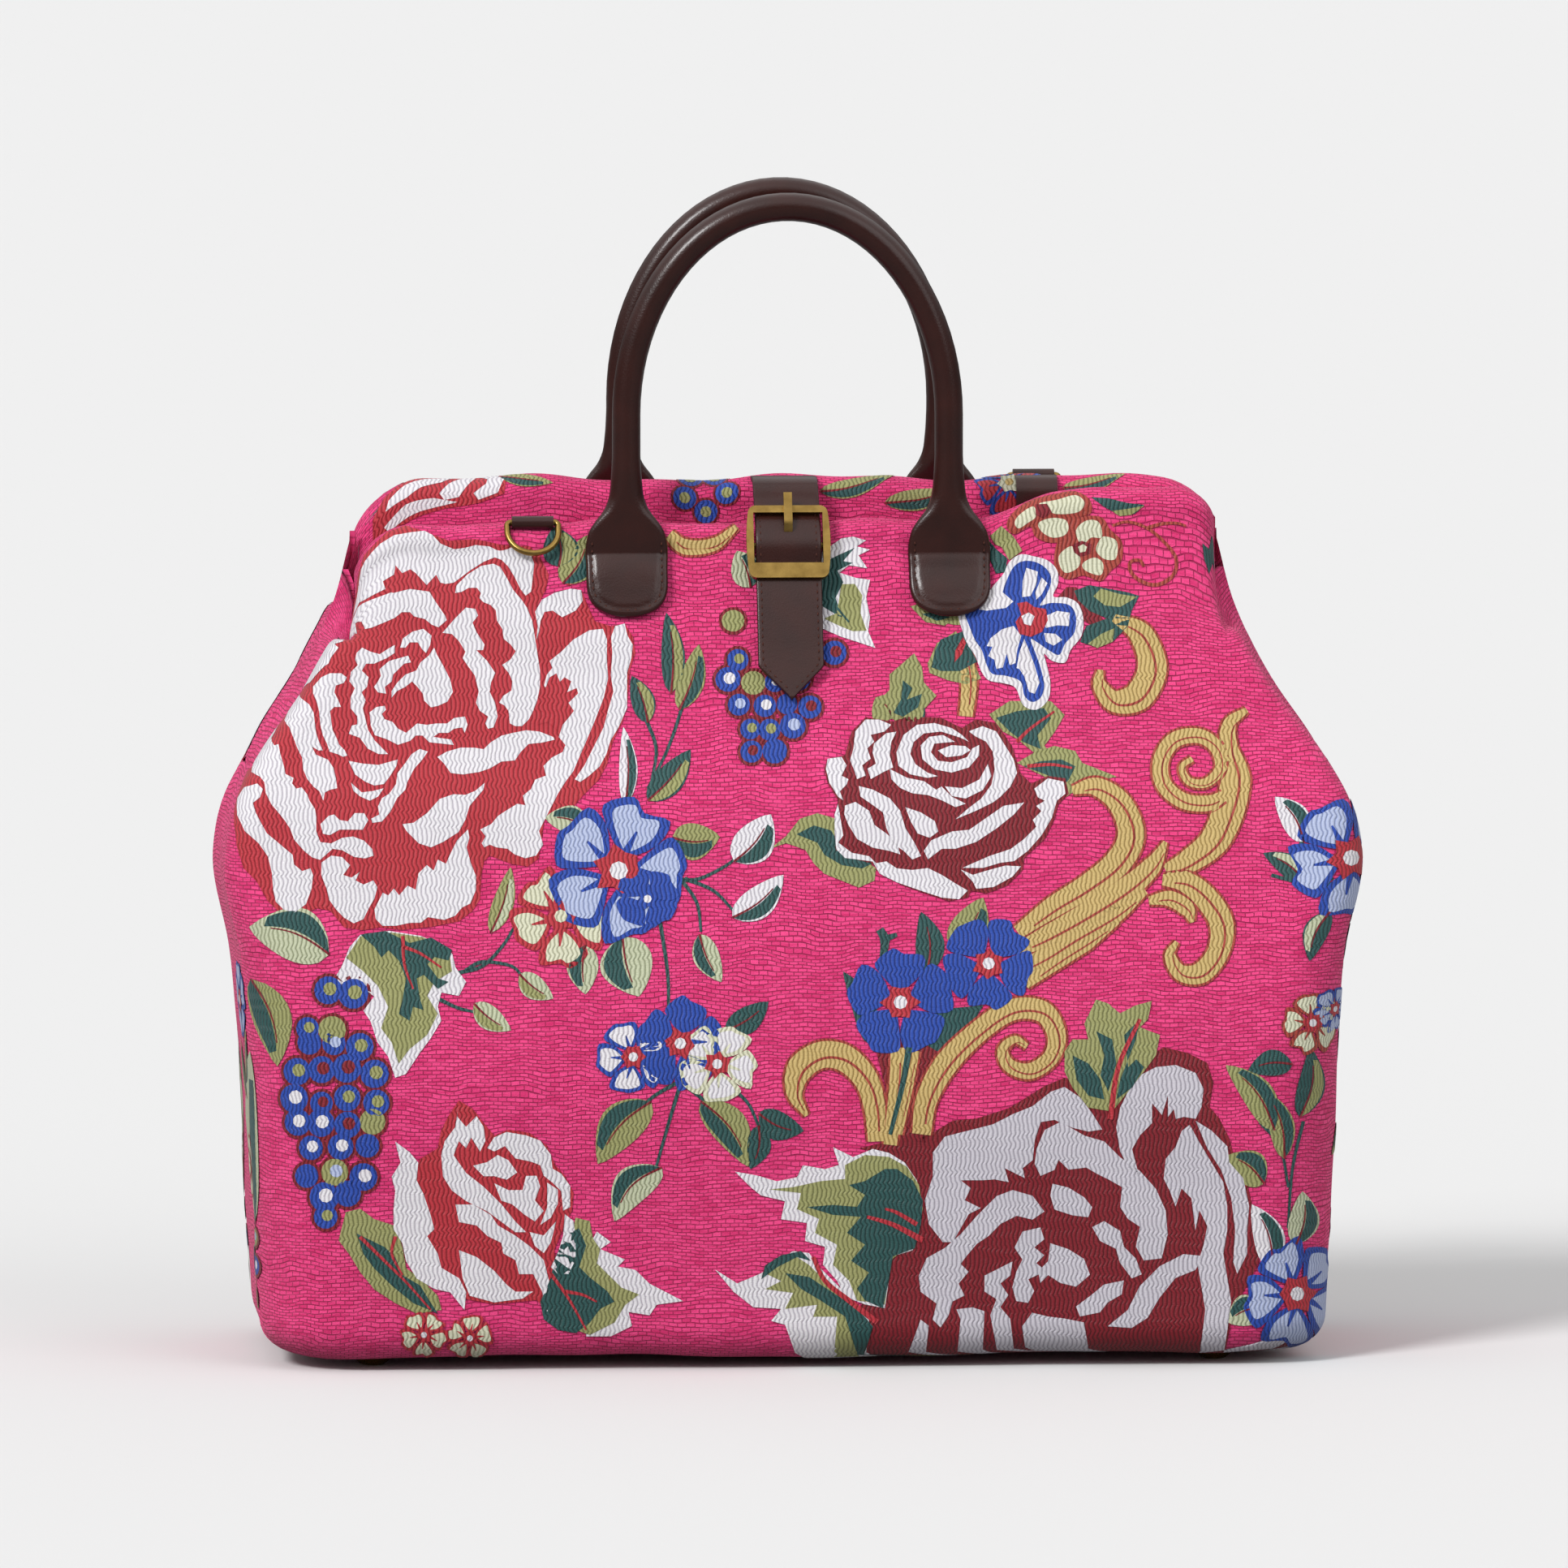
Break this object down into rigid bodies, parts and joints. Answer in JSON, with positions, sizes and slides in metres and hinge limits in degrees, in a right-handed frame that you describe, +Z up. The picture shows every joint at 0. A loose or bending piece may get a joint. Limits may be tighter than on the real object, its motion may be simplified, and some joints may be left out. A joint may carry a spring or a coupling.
{
  "type": "carpet bag",
  "caption": "Carpet bag of floral tapestry on a hinged frame, with rolled leather handles, a buckled closing strap, D-rings and domed feet.",
  "frame": {"origin": "on the ground, under the middle of the base", "axes": "+Z up, +X towards the bag's right end seen from the front, -Y towards the buckle side"},
  "size_m": [0.4342, 0.1738, 0.447],
  "materials": {
    "carpet": "woven tapestry with a short pile",
    "lining": "plain woven cloth",
    "board": "pressed board",
    "brass": "antique",
    "antique_brass": "brushed, antique",
    "steel": "plain spring steel",
    "handle_leather": "smooth, satin",
    "strap_leather": "smooth, satin",
    "cord": "twisted cord"
  },
  "bodies": {
    "body": {"carpet_body": "carpet", "lining": "lining", "base_board": "board", "foot_front_left": "brass", "foot_front_right": "brass", "foot_back_left": "brass", "foot_back_right": "brass", "end_fold_left": "carpet", "end_fold_right": "carpet"},
    "front_mouth": {"front_panel": "carpet", "front_frame_strip": "steel", "front_handle_tab_left": "handle_leather", "front_handle_tab_right": "handle_leather", "front_ring_loop": "strap_leather", "buckle_frame": "antique_brass", "buckle_chape": "strap_leather"},
    "back_mouth": {"back_panel": "carpet", "back_frame_strip": "steel", "hinge_rivet_left": "steel", "hinge_rivet_right": "steel", "back_handle_tab_left": "handle_leather", "back_handle_tab_right": "handle_leather", "back_ring_loop": "strap_leather", "closure_strap": "strap_leather"},
    "front_handle": {"front_handle": "handle_leather", "front_handle_core": "cord"},
    "back_handle": {"back_handle": "handle_leather", "back_handle_core": "cord"},
    "front_ring": {"front_d_ring": "antique_brass"},
    "back_ring": {"back_d_ring": "antique_brass"},
    "prong": {"buckle_prong": "antique_brass"}
  },
  "joints": [
    {"name": "front_mouth_hinge", "type": "hinge", "parent": "body", "child": "front_mouth", "pos_m": [0, 0, 0.226], "axis": [1, 0, 0], "range_deg": [0, 38], "deforming": ["end_fold_left", "end_fold_right", "closure_strap"]},
    {"name": "back_mouth_hinge", "type": "hinge", "parent": "body", "child": "back_mouth", "pos_m": [0, 0, 0.226], "axis": [-1, 0, 0], "range_deg": [0, 38]},
    {"name": "front_handle_fold", "type": "hinge", "parent": "front_mouth", "child": "front_handle", "pos_m": [0, -0.0201, 0.3185], "axis": [1, 0, 0], "range_deg": [0, 110]},
    {"name": "back_handle_fold", "type": "hinge", "parent": "back_mouth", "child": "back_handle", "pos_m": [0, 0.0201, 0.3345], "axis": [-1, 0, 0], "range_deg": [0, 110]},
    {"name": "front_ring_swing", "type": "hinge", "parent": "front_mouth", "child": "front_ring", "pos_m": [-0.097, -0.01562, 0.31708], "axis": [-1, 0, 0], "range_deg": [0, 150]},
    {"name": "back_ring_swing", "type": "hinge", "parent": "back_mouth", "child": "back_ring", "pos_m": [0.097, 0.01562, 0.33308], "axis": [1, 0, 0], "range_deg": [0, 150]},
    {"name": "prong_pivot", "type": "hinge", "parent": "front_mouth", "child": "prong", "pos_m": [0, -0.01983, 0.30806], "axis": [1, 0, 0], "range_deg": [0, 90]}
  ],
  "couplings": [
    {"joint": "back_mouth_hinge", "follows": "front_mouth_hinge", "ratio": 1}
  ]
}
